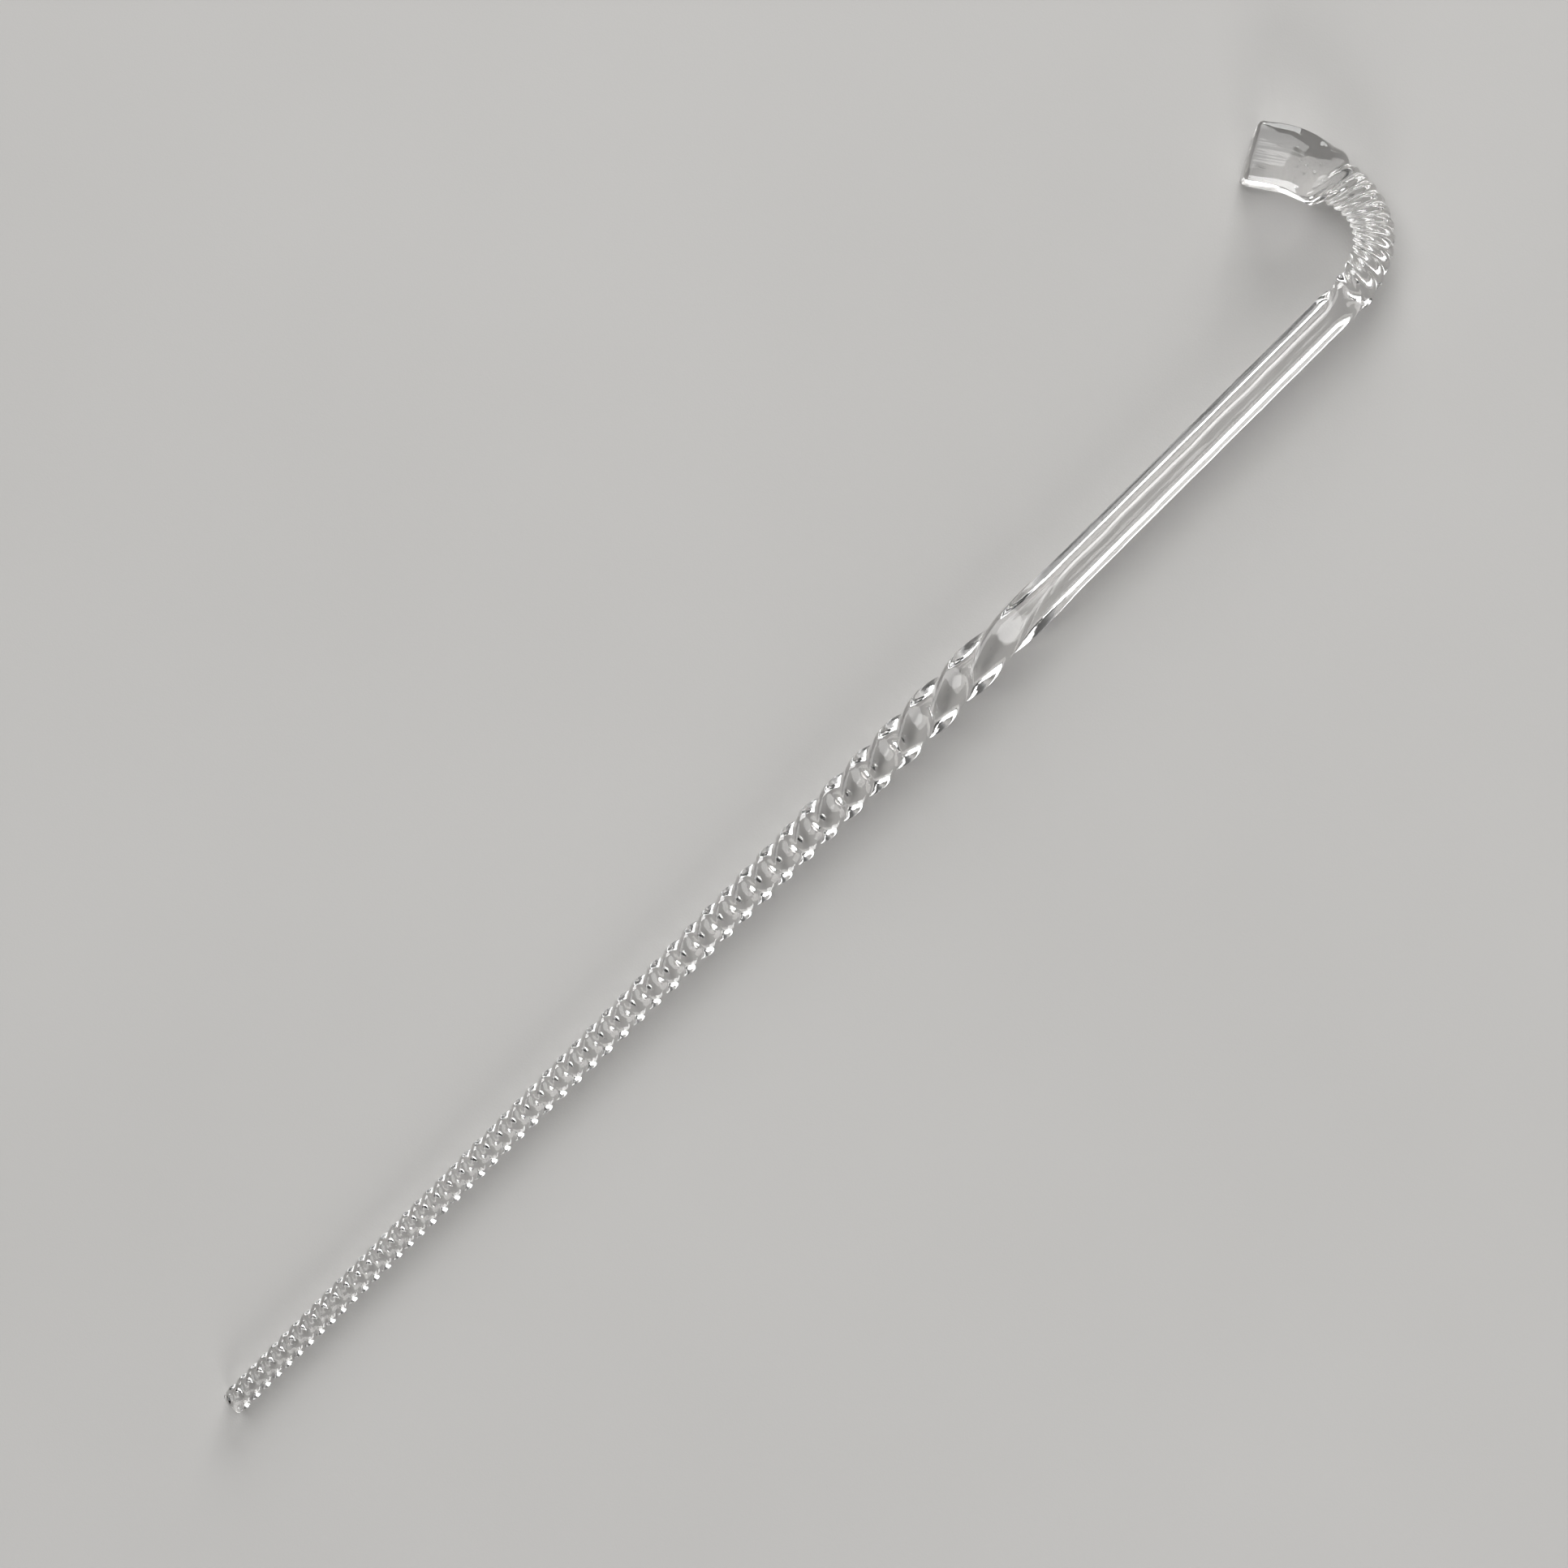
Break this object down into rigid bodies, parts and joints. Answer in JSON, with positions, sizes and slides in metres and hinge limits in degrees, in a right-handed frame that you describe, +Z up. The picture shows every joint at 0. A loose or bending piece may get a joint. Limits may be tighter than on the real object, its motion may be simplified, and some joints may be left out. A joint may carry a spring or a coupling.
{
  "type": "glass walking cane",
  "caption": "Solid clear-glass walking cane: left-handed rope twist up the shaft, plain square shank, tightly twisted hook and a plain square grip block.",
  "frame": {"origin": "on the surface that the cane lies on, under the middle of its bounding box", "axes": "+Y up the shaft from the foot to the hook, the hook turns towards -X, +Z up off the surface"},
  "size_m": [0.1142, 0.9163, 0.0334],
  "materials": {
    "clear_glass": "fire-polished clear glass with a faint warm grey cast, a slightly wavy hand-worked surface and a few seed bubbles"
  },
  "bodies": {
    "root": {"tip": "clear_glass", "lower_twist": "clear_glass", "middle_twist": "clear_glass", "upper_twist": "clear_glass", "twist_runout": "clear_glass", "plain_shank": "clear_glass", "knuckle": "clear_glass", "crook_twist_lower": "clear_glass", "crook_twist_upper": "clear_glass", "grip_neck": "clear_glass", "grip_block": "clear_glass"}
  },
  "joints": []
}
